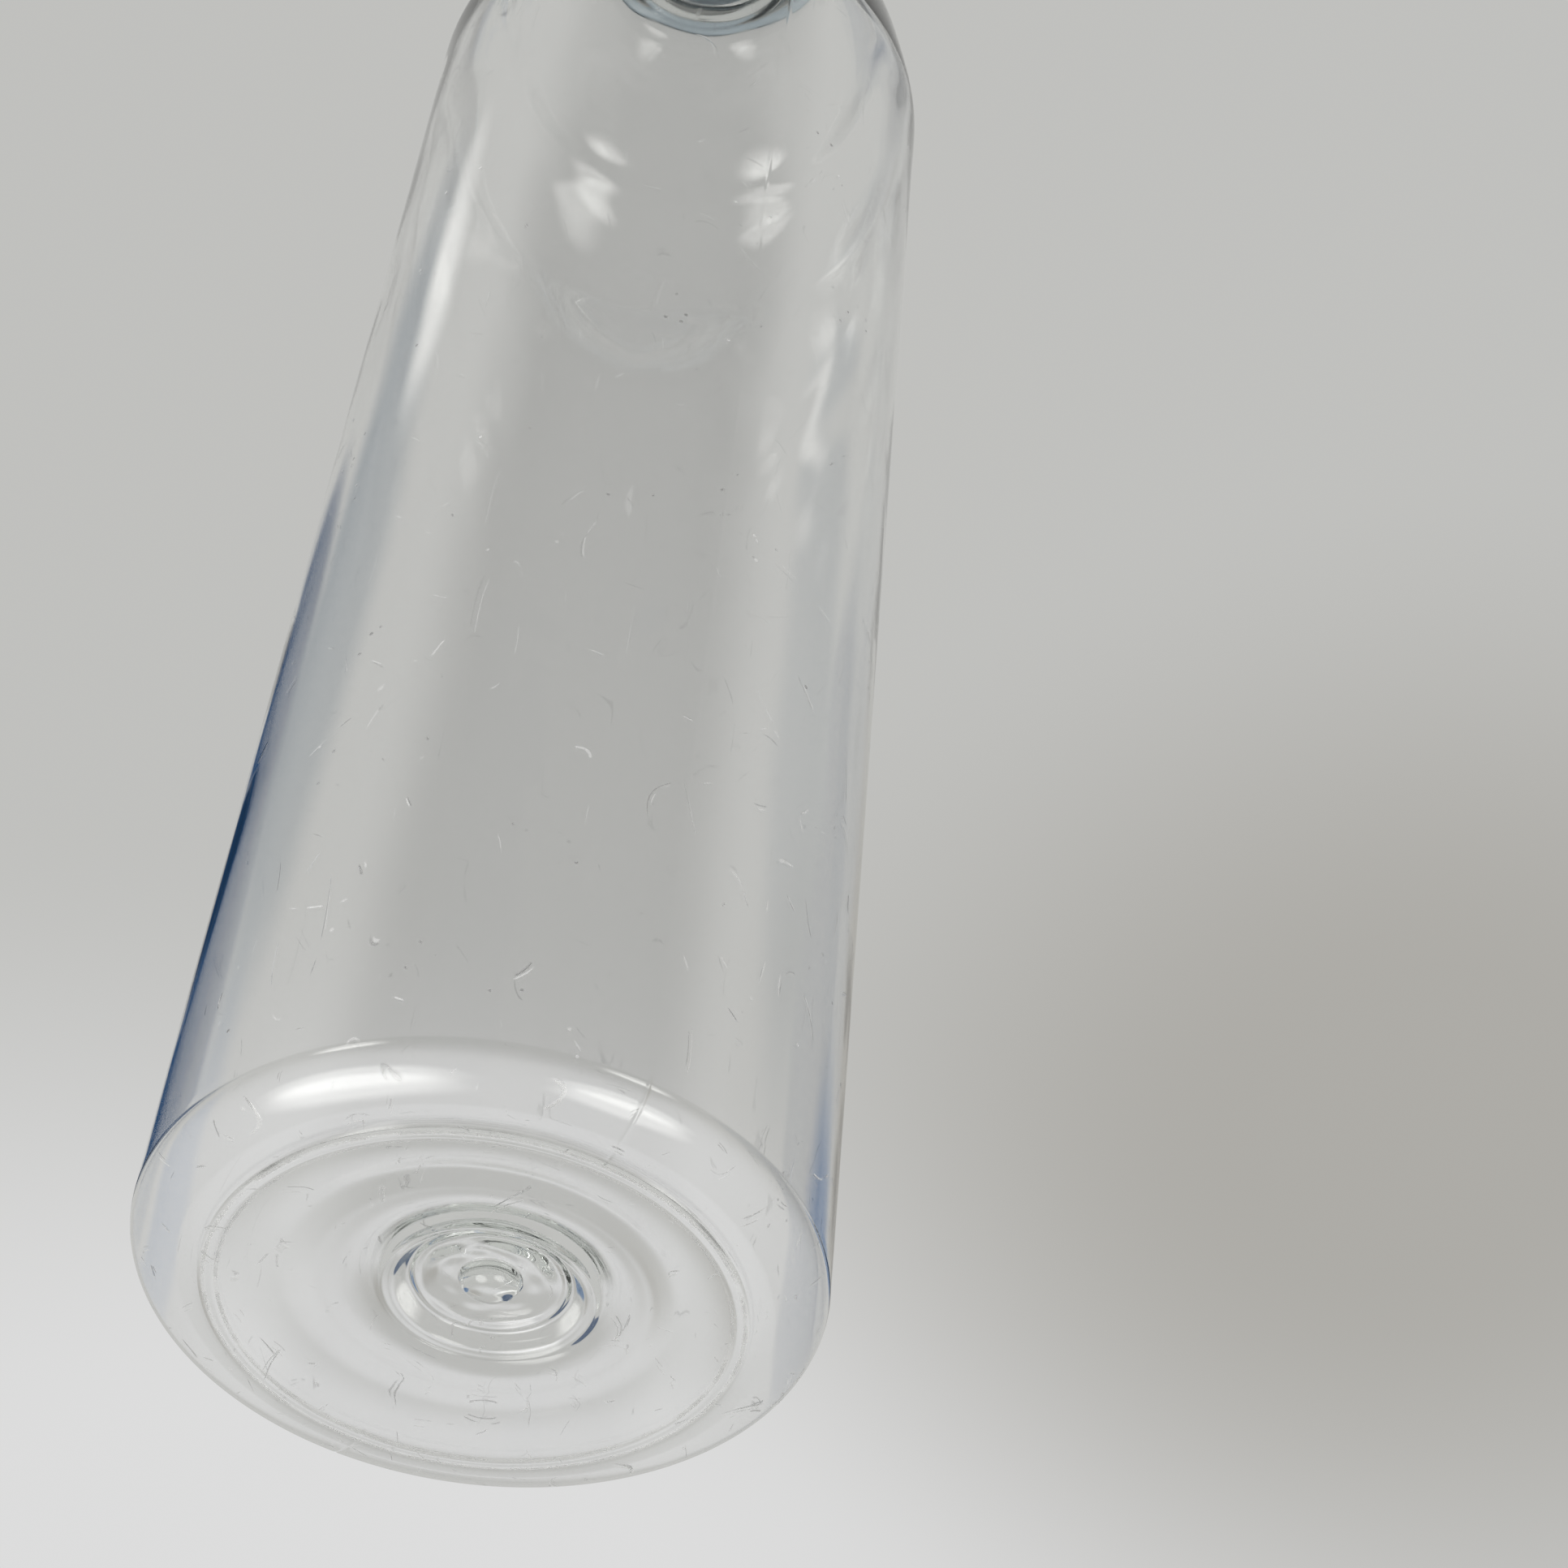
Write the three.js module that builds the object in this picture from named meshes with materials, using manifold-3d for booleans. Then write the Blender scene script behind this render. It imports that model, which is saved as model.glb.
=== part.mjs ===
// Manual rain gauge made from a clear blow-moulded bottle.
// The bottle collects and stores the rain. A funnel screws onto its neck and catches the rain
// over the same diameter as the bottle's bore, so the depth of water in the straight part of
// the body rises millimetre for millimetre with the rainfall. A debris screen lies in the funnel.
// Millimetres, +Z up, origin at the centre of the foot ring's plane.
import * as THREE from 'three';
import { mergeVertices } from 'three/addons/utils/BufferGeometryUtils.js';
import Module from 'manifold-3d';

const wasm = await Module();
wasm.setup();

// ---- driving dimensions ----
const SIDES = 48;

const BODY_RADIUS = 30.2;
const BODY_WALL = 0.5;
const BORE_RADIUS = BODY_RADIUS - BODY_WALL;
const HEEL_WIDTH = 8.3;
const HEEL_HEIGHT = 4.13;
const FOOT_INNER_RADIUS = 22.3;
const FOOT_OUTER_RADIUS = 23.4;
const FOOT_STEP = 0.12;
const CONE_START = 14.6;
const BASE_HEIGHT = 1.95;
const STEP_HEIGHT = 1.5;
const STEP_RADIUS = 6.9;
const NUB_RADIUS = 2.7;
const NUB_HEIGHT = 1.8;
const FOOT_WALL = 0.95;
// The base's inside, from its thick centre out to the foot: [radius, height] pairs.
const BASE_INSIDE = [
  [0, 5.45], [4.5, 5.15], [8.5, 4.0], [11, 3.2], [15, 2.9], [17.5, 2.45], [20.9, 1.35], [24.3, 1.1],
];
const SHOULDER_START = 187;
const SHOULDER_RISE = 37;
const SHOULDER_POWER = 1.5;
const SHOULDER_END = 220.5;
const SHOULDER_WALL = 1.1;
const SHOULDER_DROP = 0.5;
const NECK_RADIUS = 13.0;
const NECK_WALL = 1.54;
const NECK_START = 231;
const NECK_FILLET = 6.5;

const SUPPORT_RING_RADIUS = 16.5;
const SUPPORT_RING_BOTTOM = 236.5;
const SUPPORT_RING_TOP = 238.5;
const FINISH_ROOT_RADIUS = 12.45;
const FINISH_BORE_RADIUS = 10.87;
const MOUTH = 253.5;
const BEAD_RADIUS = 13.9;
const BEAD_BOTTOM = 241.9;
const BEAD_TOP = 243.0;
const TAMPER_RADIUS = 14.7;
const TAMPER_INNER_RADIUS = 12.9;

const THREAD_PITCH = 2.7;
const THREAD_CREST_RADIUS = 13.65;
const BOTTLE_THREAD_START = 245.7;
const BOTTLE_THREAD_TURNS = 1.9;
const FUNNEL_THREAD_TURNS = 2.2;
const GAP = 0.35;

const SOCKET_RADIUS = 15.6;
const SOCKET_BORE = 14.05;
const SOCKET_BOTTOM = 243.6;
const WASHER_THICKNESS = 1.5;
const WASHER_INNER_RADIUS = 10.9;
const WASHER_OUTER_RADIUS = 13.5;
const SOCKET_CEILING = MOUTH + WASHER_THICKNESS + 2 * GAP;
const GRIP_RIBS = 24;
const GRIP_RIB_RADIUS = 0.7;
const CONE_NECK_RADIUS = 11.9;
const SPOUT_RADIUS = 9.4;
const SPOUT_BORE = 7.9;
const SPOUT_BOTTOM = 232.4;
const THROAT = 259;
const LEDGE = 283.7;
const LEDGE_RADIUS = 28.0;
const RIM_RADIUS = 31.2;
const RIM_TOP = 306;
const KNIFE_HEIGHT = 2.2;

const SCREEN_RADIUS = BORE_RADIUS - 0.4;
const SCREEN_THICKNESS = 1.4;
const SCREEN_HOLE_RADIUS = 2.5;
const SCREEN_HOLE_PITCH = 7;
const SCREEN_HOLE_SIDES = 8;
const SCREEN_BORDER = 3.2;
const KNOB_RADIUS = 2.6;
const KNOB_HEIGHT = 9;

// ---- materials ----
const clearPet = new THREE.MeshStandardMaterial({ color: 0xe6edf0, roughness: 0.05, metalness: 0 });
const ringPlastic = new THREE.MeshStandardMaterial({ color: 0xe9e9e6, roughness: 0.4, metalness: 0 });
const funnelPlastic = new THREE.MeshStandardMaterial({ color: 0xadbbc5, roughness: 0.4, metalness: 0 });
const screenPlastic = new THREE.MeshStandardMaterial({ color: 0x9ca9b4, roughness: 0.45, metalness: 0 });
const rubber = new THREE.MeshStandardMaterial({ color: 0x1c1c1d, roughness: 0.8, metalness: 0 });

// ---- helpers ----

// A profile of [radius, height] points turned about the Z axis.
function lathe(profile, sides = SIDES) {
  const points = profile.map(([radius, height]) => new THREE.Vector2(radius, height));
  const geometry = new THREE.LatheGeometry(points, sides);
  geometry.rotateX(Math.PI / 2);
  return geometry;
}

// A ring whose closed profile doesn't touch the axis.
function ring(profile) {
  return lathe([...profile, profile[0]]);
}

function toManifold(geometry) {
  const bare = geometry.clone();
  bare.deleteAttribute('normal');
  bare.deleteAttribute('uv');
  const merged = mergeVertices(bare, 1e-4);
  return new wasm.Manifold(new wasm.Mesh({
    numProp: 3,
    vertProperties: new Float32Array(merged.attributes.position.array),
    triVerts: new Uint32Array(merged.index.array),
  }));
}

function toGeometry(manifold) {
  const mesh = manifold.getMesh();
  const geometry = new THREE.BufferGeometry();
  geometry.setAttribute('position', new THREE.BufferAttribute(mesh.vertProperties, 3));
  geometry.setIndex(new THREE.BufferAttribute(mesh.triVerts, 1));
  geometry.computeVertexNormals();
  return geometry;
}

// A right-handed helix about Z. Its frames keep the section's first axis pointing outwards.
class Helix extends THREE.Curve {
  constructor(radius, start, turns, phase) {
    super();
    Object.assign(this, { radius, start, turns, phase });
  }

  getPoint(t, target = new THREE.Vector3()) {
    const angle = this.phase + t * this.turns * 2 * Math.PI;
    const height = this.start + t * this.turns * THREAD_PITCH;
    return target.set(this.radius * Math.cos(angle), this.radius * Math.sin(angle), height);
  }

  computeFrenetFrames(steps) {
    const tangents = [];
    const normals = [];
    const binormals = [];
    for (let i = 0; i <= steps; i += 1) {
      const angle = this.phase + (i / steps) * this.turns * 2 * Math.PI;
      const tangent = new THREE.Vector3(-Math.sin(angle), Math.cos(angle), 0);
      const normal = new THREE.Vector3(Math.cos(angle), Math.sin(angle), 0);
      tangents.push(tangent);
      normals.push(normal);
      binormals.push(new THREE.Vector3().crossVectors(tangent, normal));
    }
    return { tangents, normals, binormals };
  }
}

// A thread ridge: a trapezium carried along a helix at its root radius.
// depth is positive for an outside thread and negative for an inside one.
function threadRidge({ rootRadius, depth, rootWidth, crestWidth, start, turns, phase }) {
  const buried = -Math.sign(depth) * 0.4;
  const corners = [
    new THREE.Vector2(buried, -rootWidth / 2),
    new THREE.Vector2(depth, -crestWidth / 2),
    new THREE.Vector2(depth, crestWidth / 2),
    new THREE.Vector2(buried, rootWidth / 2),
  ];
  const steps = Math.round(turns * SIDES);
  return new THREE.ExtrudeGeometry(new THREE.Shape(corners), {
    steps,
    bevelEnabled: false,
    extrudePath: new Helix(rootRadius, start, turns, phase),
  });
}

function named(name, geometry, material) {
  const mesh = new THREE.Mesh(geometry, material);
  mesh.name = name;
  return mesh;
}

// ---- bottle ----

// Radius of the heel's elliptical round at a height, for a wall set in by inset.
function heelRadius(height, inset) {
  const rise = (HEEL_HEIGHT - height) / HEEL_HEIGHT;
  return BODY_RADIUS - inset - HEEL_WIDTH + HEEL_WIDTH * Math.sqrt(1 - rise * rise);
}

function shoulderRadius(height) {
  const rise = ((height - SHOULDER_START) / SHOULDER_RISE) ** SHOULDER_POWER;
  const top = NECK_RADIUS + 0.5;
  return top + (BODY_RADIUS - top) * (1 - rise) ** (1 / SHOULDER_POWER);
}

// The round where the shoulder's dome turns up into the neck.
function neckFillet(shoulderInset, neckInset, drop) {
  const start = new THREE.Vector2(shoulderRadius(SHOULDER_END) - shoulderInset, SHOULDER_END - drop);
  const corner = new THREE.Vector2(NECK_RADIUS - neckInset, SHOULDER_END + NECK_FILLET - drop);
  const end = new THREE.Vector2(NECK_RADIUS - neckInset, NECK_START);
  const curve = new THREE.QuadraticBezierCurve(start, corner, end);
  return curve.getPoints(4).map((point) => [point.x, point.y]);
}

function shoulderPoints(inset, drop) {
  const steps = 9;
  const points = [];
  for (let i = 0; i < steps; i += 1) {
    const part = 1 - (1 - i / steps) ** 1.3;
    const height = SHOULDER_START + (SHOULDER_END - SHOULDER_START) * part;
    points.push([shoulderRadius(height) - inset, height - drop * part]);
  }
  return points;
}

function bottleGeometry() {
  const stepTop = BASE_HEIGHT + STEP_HEIGHT;
  const base = [
    [0, stepTop - NUB_HEIGHT], [NUB_RADIUS * 0.6, stepTop - NUB_HEIGHT * 0.8], [NUB_RADIUS, stepTop],
    [STEP_RADIUS, stepTop], [STEP_RADIUS + 1.7, BASE_HEIGHT + 0.1], [CONE_START, BASE_HEIGHT],
    [FOOT_INNER_RADIUS - 0.2, FOOT_STEP], [FOOT_INNER_RADIUS, 0], [FOOT_OUTER_RADIUS, 0],
  ];
  const heelHeights = [0.35, 0.8, 1.4, 2.2, 3.1, HEEL_HEIGHT];
  const heel = heelHeights.map((height) => [heelRadius(height, 0), height]);
  const outside = [
    ...base, ...heel, ...shoulderPoints(0, 0), ...neckFillet(0, 0, 0),
    [NECK_RADIUS, SUPPORT_RING_BOTTOM], [SUPPORT_RING_RADIUS - 0.4, SUPPORT_RING_BOTTOM],
    [SUPPORT_RING_RADIUS, SUPPORT_RING_BOTTOM + 0.4], [SUPPORT_RING_RADIUS, SUPPORT_RING_TOP - 0.9],
    [FINISH_ROOT_RADIUS + 0.5, SUPPORT_RING_TOP], [FINISH_ROOT_RADIUS, SUPPORT_RING_TOP + 0.2],
    [FINISH_ROOT_RADIUS, BEAD_BOTTOM], [BEAD_RADIUS, BEAD_BOTTOM],
    [BEAD_RADIUS - 0.4, BEAD_TOP - 0.5], [FINISH_ROOT_RADIUS, BEAD_TOP],
    [FINISH_ROOT_RADIUS, MOUTH - 0.4], [FINISH_ROOT_RADIUS - 0.4, MOUTH],
  ];
  const innerHeel = heelHeights.slice(1, -1).map((height) => {
    return [heelRadius(height, BODY_WALL), height + FOOT_WALL];
  });
  const innerFillet = neckFillet(SHOULDER_WALL, NECK_WALL, SHOULDER_DROP).slice(0, -1);
  const inside = [
    ...BASE_INSIDE, ...innerHeel, [BORE_RADIUS, HEEL_HEIGHT + 1.2],
    ...shoulderPoints(BODY_WALL, 0.3), ...innerFillet,
    [FINISH_BORE_RADIUS, NECK_START + 2], [FINISH_BORE_RADIUS, MOUTH],
  ];
  const wall = toManifold(lathe([...outside, ...inside.reverse()]));
  const thread = toManifold(threadRidge({
    rootRadius: FINISH_ROOT_RADIUS,
    depth: THREAD_CREST_RADIUS - FINISH_ROOT_RADIUS,
    rootWidth: 1.5,
    crestWidth: 0.8,
    start: BOTTLE_THREAD_START,
    turns: BOTTLE_THREAD_TURNS,
    phase: 0,
  }));
  return toGeometry(wall.add(thread));
}

// ---- tamper ring: stays on the neck below its bead ----
function tamperRingGeometry() {
  const bottom = SUPPORT_RING_TOP + GAP;
  const top = BEAD_BOTTOM - GAP;
  return ring([
    [TAMPER_INNER_RADIUS + 0.3, bottom], [TAMPER_RADIUS - 0.2, bottom], [TAMPER_RADIUS, bottom + 0.3],
    [TAMPER_RADIUS, top - 0.2], [TAMPER_RADIUS - 0.2, top], [TAMPER_INNER_RADIUS, top],
  ]);
}

// ---- sealing washer: flat ring between the bottle's mouth and the funnel's socket ----
function washerGeometry() {
  const bottom = MOUTH + GAP;
  const top = bottom + WASHER_THICKNESS;
  return ring([
    [WASHER_INNER_RADIUS, bottom], [WASHER_OUTER_RADIUS, bottom],
    [WASHER_OUTER_RADIUS, top], [WASHER_INNER_RADIUS, top],
  ]);
}

// ---- funnel ----
function gripRib(index) {
  const height = SOCKET_CEILING - SOCKET_BOTTOM - 1.2;
  const rib = new THREE.CylinderGeometry(GRIP_RIB_RADIUS, GRIP_RIB_RADIUS, height, 6);
  rib.rotateX(Math.PI / 2);
  rib.translate(SOCKET_RADIUS + 0.1, 0, SOCKET_BOTTOM + 0.6 + height / 2);
  rib.rotateZ((index / GRIP_RIBS) * 2 * Math.PI);
  return toManifold(rib);
}

function funnelGeometry() {
  const profile = [
    [SPOUT_BORE, SPOUT_BOTTOM], [SPOUT_RADIUS, SPOUT_BOTTOM], [SPOUT_RADIUS, SOCKET_CEILING],
    [SOCKET_BORE, SOCKET_CEILING], [SOCKET_BORE, SOCKET_BOTTOM], [SOCKET_RADIUS, SOCKET_BOTTOM],
    [SOCKET_RADIUS, SOCKET_CEILING + 1.2], [SOCKET_RADIUS - 1.2, SOCKET_CEILING + 2.4],
    [CONE_NECK_RADIUS, SOCKET_CEILING + 3.6], [LEDGE_RADIUS + 2.2, LEDGE - 1.6], [RIM_RADIUS, LEDGE],
    [RIM_RADIUS, RIM_TOP - KNIFE_HEIGHT], [BORE_RADIUS + 0.15, RIM_TOP], [BORE_RADIUS, RIM_TOP],
    [BORE_RADIUS, LEDGE], [LEDGE_RADIUS, LEDGE], [SPOUT_BORE + 0.9, THROAT], [SPOUT_BORE, THROAT - 2],
  ];
  let body = toManifold(ring(profile));
  body = body.add(toManifold(threadRidge({
    rootRadius: SOCKET_BORE,
    depth: -(SOCKET_BORE - FINISH_ROOT_RADIUS - GAP),
    rootWidth: 1.4,
    crestWidth: 0.7,
    start: BOTTLE_THREAD_START - THREAD_PITCH / 2,
    turns: FUNNEL_THREAD_TURNS,
    phase: 0,
  })));
  for (let i = 0; i < GRIP_RIBS; i += 1) {
    body = body.add(gripRib(i));
  }
  return toGeometry(body);
}

// ---- debris screen: a perforated disc with a knob, lifted out to empty it ----
function screenGeometry() {
  const bottom = LEDGE + GAP;
  const top = bottom + SCREEN_THICKNESS;
  let body = toManifold(lathe([
    [0, bottom], [SCREEN_RADIUS, bottom], [SCREEN_RADIUS, top], [KNOB_RADIUS, top],
    [KNOB_RADIUS - 0.7, top + 2], [KNOB_RADIUS - 0.7, top + KNOB_HEIGHT - 3],
    [KNOB_RADIUS + 0.6, top + KNOB_HEIGHT - 1.4], [KNOB_RADIUS, top + KNOB_HEIGHT], [0, top + KNOB_HEIGHT],
  ]));
  const outermost = SCREEN_RADIUS - SCREEN_BORDER - SCREEN_HOLE_RADIUS;
  const rows = Math.ceil(SCREEN_RADIUS / (SCREEN_HOLE_PITCH * Math.sqrt(0.75)));
  for (let row = -rows; row <= rows; row += 1) {
    for (let column = -rows - 1; column <= rows + 1; column += 1) {
      const x = (column + (row % 2 === 0 ? 0 : 0.5)) * SCREEN_HOLE_PITCH;
      const y = row * SCREEN_HOLE_PITCH * Math.sqrt(0.75);
      const reach = Math.hypot(x, y);
      if (reach < KNOB_RADIUS + SCREEN_HOLE_RADIUS || reach > outermost) {
        continue;
      }
      const drill = new THREE.CylinderGeometry(
        SCREEN_HOLE_RADIUS,
        SCREEN_HOLE_RADIUS,
        3 * SCREEN_THICKNESS,
        SCREEN_HOLE_SIDES,
      );
      drill.rotateX(Math.PI / 2);
      drill.translate(x, y, (bottom + top) / 2);
      body = body.subtract(toManifold(drill));
    }
  }
  return toGeometry(body);
}

const rainGauge = new THREE.Group();
rainGauge.add(
  named('bottle', bottleGeometry(), clearPet),
  named('tamper_ring', tamperRingGeometry(), ringPlastic),
  named('sealing_washer', washerGeometry(), rubber),
  named('funnel', funnelGeometry(), funnelPlastic),
  named('debris_screen', screenGeometry(), screenPlastic),
);

export default rainGauge;
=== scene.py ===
# The manual rain gauge's looks: a clear blow-moulded bottle with a screw-on funnel and its screen.
import math

import bmesh
import bpy
import numpy as np
from mathutils import Matrix, Vector


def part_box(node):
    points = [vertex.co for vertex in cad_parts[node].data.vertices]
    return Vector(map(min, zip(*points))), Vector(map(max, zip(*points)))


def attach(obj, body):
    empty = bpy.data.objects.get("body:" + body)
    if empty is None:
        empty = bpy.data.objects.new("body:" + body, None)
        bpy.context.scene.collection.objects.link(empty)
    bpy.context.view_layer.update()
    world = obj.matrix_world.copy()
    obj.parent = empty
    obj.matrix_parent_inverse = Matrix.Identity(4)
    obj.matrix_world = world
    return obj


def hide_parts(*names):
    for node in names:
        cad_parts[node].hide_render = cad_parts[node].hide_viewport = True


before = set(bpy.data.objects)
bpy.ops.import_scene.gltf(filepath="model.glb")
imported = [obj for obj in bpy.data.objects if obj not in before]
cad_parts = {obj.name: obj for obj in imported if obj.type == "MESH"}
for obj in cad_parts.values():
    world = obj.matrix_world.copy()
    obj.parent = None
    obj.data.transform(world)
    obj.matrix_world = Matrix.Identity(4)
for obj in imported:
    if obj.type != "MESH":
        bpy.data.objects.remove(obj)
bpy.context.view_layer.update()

MM = 0.001
FULL_TURN = 2 * math.pi


def box_in_mm(node):
    """A CAD node's lowest and highest corners at rest."""
    return [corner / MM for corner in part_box(node)]


# ---- sizes in millimetres, angles in radians; the outermost sizes come from the frame ----

BOTTLE_HIGH = box_in_mm("bottle")[1]
FUNNEL_LOW, FUNNEL_HIGH = box_in_mm("funnel")
SCREEN_LOW, SCREEN_HIGH = box_in_mm("debris_screen")
WASHER_LOW, WASHER_HIGH = box_in_mm("sealing_washer")
TAMPER_LOW, TAMPER_HIGH = box_in_mm("tamper_ring")

# bottle: body, heel and foot
BODY_RADIUS = BOTTLE_HIGH.x
MOUTH = BOTTLE_HIGH.z
BODY_WALL = 0.5
BORE_RADIUS = BODY_RADIUS - BODY_WALL
BODY_SPACING = 2.4
HEEL_WIDTH = 8.3
HEEL_HEIGHT = 4.13
HEEL_WALL = 0.85
FOOT_INNER_RADIUS = 22.1
FOOT_OUTER_RADIUS = 23.2
FOOT_STEP = 0.12
SEAM_ANGLES = (math.radians(-69), math.radians(111))
SEAM_HALF_WIDTH = 0.012
SEAM_STEPS = 6

# bottle: middle of the base
BASE_HEIGHT = 1.95
BASE_DISH = 0.2
BASE_TOP = 7.0
CONE_START = 14.6
STEP_HEIGHT = 1.5
STEP_RADIUS = 6.9
STEP_FOOT_RADIUS = 8.6
NUB_RADIUS = 2.7
NUB_HEIGHT = 1.8
GATE_OFFSET = (1.0, 0.1)
# Grooves round the gate: radius, half width, depth.
BASE_GROOVES = ((CONE_START, 1.2, 0.08), (9.2, 0.3, 0.14), (6.6, 0.35, 0.3), (4.6, 0.7, 0.1))

# bottle: shoulder and neck
SHOULDER_START = 187.0
SHOULDER_RISE = 37.0
SHOULDER_POWER = 1.5
SHOULDER_END = 220.5
SHOULDER_WALL = 1.1
SHOULDER_DROP = 0.5
SHOULDER_STEPS = 40
SHOULDER_GROOVE = 0.55
SHOULDER_GROOVE_HEIGHT = 206.0
SHOULDER_GROOVE_WIDTH = 3.2
SHOULDER_UNEVENNESS = 0.16
NECK_RADIUS = 13.0
NECK_WALL = 1.6
NECK_START = 231.0
NECK_FILLET = 6.5
DOME_TOP_RADIUS = NECK_RADIUS + 0.5

# bottle: screw finish
SUPPORT_RING_RADIUS = 16.5
SUPPORT_RING_BOTTOM = 236.5
SUPPORT_RING_TOP = 238.5
FINISH_ROOT_RADIUS = 12.45
FINISH_BORE_RADIUS = 10.87
BEAD_RADIUS = 13.9
BEAD_BOTTOM = 241.9
BEAD_TOP = 243.0
THREAD_PITCH = 2.7
THREAD_CREST_RADIUS = 13.65
THREAD_START = 245.7
THREAD_TURNS = 1.9

# tamper ring and washer
TAMPER_BRIDGES = 12
TAMPER_RIBS = 72
TAMPER_RIB_DEPTH = 0.12
TAMPER_STUB = 0.3
TAMPER_TOP_INNER_RADIUS = 12.95
TAMPER_LOW_INNER_RADIUS = 13.2
WASHER_INNER_RADIUS = 10.9
WASHER_GROOVE_RADIUS = 12.2

# funnel
SOCKET_RADIUS = 15.6
SOCKET_BORE = 14.05
SOCKET_BOTTOM = 243.6
SOCKET_CEILING = 255.7
SOCKET_THREAD_CREST = 12.8
SOCKET_THREAD_START = THREAD_START - THREAD_PITCH / 2
SOCKET_THREAD_TURNS = 2.2
GRIP_RIBS = 24
GRIP_RIB_DEPTH = 0.75
SPOUT_RADIUS = 9.4
SPOUT_BORE = 7.9
THROAT = 259.0
LEDGE = 283.7
LEDGE_RADIUS = 28.0
RIM_RADIUS = FUNNEL_HIGH.x
KNIFE_HEIGHT = 2.2

# debris screen
SCREEN_THICKNESS = 1.4
SCREEN_EDGE = 0.22
SCREEN_HOLE_RADIUS = 2.5
SCREEN_HOLE_PITCH = 7.0
SCREEN_BORDER = 3.2
SCREEN_RIM_WIDTH = 1.6
SCREEN_RIM_HEIGHT = 0.7
KNOB_RADIUS = 2.6
KNOB_WAIST = KNOB_RADIUS - 0.7


# ---- shaping helpers ----

def smoothstep(low, high, value):
    part = np.clip((np.asarray(value, float) - low) / (high - low), 0.0, 1.0)
    return part * part * (3.0 - 2.0 * part)


def bump_at(value, centre, width):
    return np.exp(-(((np.asarray(value, float) - centre) / width) ** 2))


def waves(angle, height, seed, count=14, turns=(2, 9), length=(25.0, 90.0)):
    """A smooth irregular field between about -1 and 1 that closes on itself round the axis."""
    rng = np.random.default_rng(seed)
    total = np.zeros(np.broadcast(angle, height).shape)
    for _ in range(count):
        around = rng.integers(turns[0], turns[1] + 1)
        along = FULL_TURN / rng.uniform(*length) * rng.choice((-1, 1))
        phase = rng.uniform(0, FULL_TURN)
        total = total + np.cos(around * angle + along * height + phase)
    return total / math.sqrt(count * 2)


def even_angles(count):
    return np.linspace(0, FULL_TURN, count, endpoint=False)


def angle_from(angle, centre):
    """The signed turn from centre to angle, between -pi and pi."""
    return (angle - centre + math.pi) % FULL_TURN - math.pi


def seamed_angles(count):
    """Evenly spaced angles, with closer ones across each seam."""
    angles = even_angles(count)
    for seam in SEAM_ANGLES:
        angles = angles[np.abs(angle_from(angles, seam)) > SEAM_HALF_WIDTH * 1.2]
        across = seam + np.linspace(-SEAM_HALF_WIDTH, SEAM_HALF_WIDTH, SEAM_STEPS + 1)
        angles = np.concatenate([angles, across % FULL_TURN])
    return np.sort(angles)


def arc(centre, radii, start, end, steps):
    """Points of a round or elliptical arc about centre; angles in degrees, 0 pointing outwards, 90 up."""
    across, up = np.broadcast_to(radii, 2)
    turn = np.radians(np.linspace(start, end, steps + 1))
    return np.stack([centre[0] + across * np.cos(turn), centre[1] + up * np.sin(turn)], axis=-1)


def line(start, end, spacing):
    steps = max(1, round(math.dist(start, end) / spacing))
    part = np.linspace(0, 1, steps + 1)[:, None]
    return np.array(start) * (1 - part) + np.array(end) * part


def curve(start, corner, end, steps):
    """A quadratic Bezier."""
    t = np.linspace(0, 1, steps + 1)[:, None]
    return (1 - t) ** 2 * np.array(start) + 2 * t * (1 - t) * np.array(corner) + t ** 2 * np.array(end)


def join(*stretches):
    """Stretches end to end, without the repeated points where they meet."""
    points = [np.asarray(stretches[0], float)[0]]
    for stretch in stretches:
        for point in np.asarray(stretch, float):
            if np.linalg.norm(point - points[-1]) > 1e-4:
                points.append(point)
    return np.array(points)


def revolve(name, profile, angles, displace=None, shift=None):
    """A surface of revolution from [radius, height] rows in millimetres.
    A profile that starts and ends on the axis gets a pole there; any other closes on itself.
    displace(radius, height, angle) returns the moved radius and height grids.
    shift(radius, height) is the share of GATE_OFFSET by which each point moves sideways."""
    on_axis = profile[0, 0] == 0 and profile[-1, 0] == 0
    rows = profile[1:-1] if on_axis else profile
    radius, angle = np.meshgrid(rows[:, 0], angles, indexing="ij")
    height = np.repeat(rows[:, 1:2], len(angles), axis=1)
    if displace is not None:
        radius, height = displace(radius, height, angle)
    points = np.stack([radius * np.cos(angle), radius * np.sin(angle), height], axis=-1)
    centre = (0.0, 0.0)
    if shift is not None:
        points[..., :2] += shift(radius, height)[..., None] * np.array(GATE_OFFSET)
        centre = GATE_OFFSET
    points = points.reshape(-1, 3)
    index = np.arange(radius.size).reshape(radius.shape)
    bands = len(rows) - 1 if on_axis else len(rows)
    lower = index[:bands]
    upper = np.roll(index, -1, axis=0)[:bands]
    quads = np.stack([lower, np.roll(lower, -1, 1), np.roll(upper, -1, 1), upper], axis=-1)
    faces = quads.reshape(-1, 4).tolist()
    if on_axis:
        start, end = len(points), len(points) + 1
        points = np.vstack([points, (*centre, profile[0, 1]), (*centre, profile[-1, 1])])
        faces += [[start, int(b), int(a)] for a, b in zip(index[0], np.roll(index[0], -1))]
        faces += [[end, int(a), int(b)] for a, b in zip(index[-1], np.roll(index[-1], -1))]
    mesh = bpy.data.meshes.new(name)
    mesh.from_pydata((points * MM).tolist(), [], faces)
    mesh.validate()
    mesh.shade_smooth()
    mesh.update()
    piece = bpy.data.objects.new(name, mesh)
    bpy.context.scene.collection.objects.link(piece)
    return piece


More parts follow.
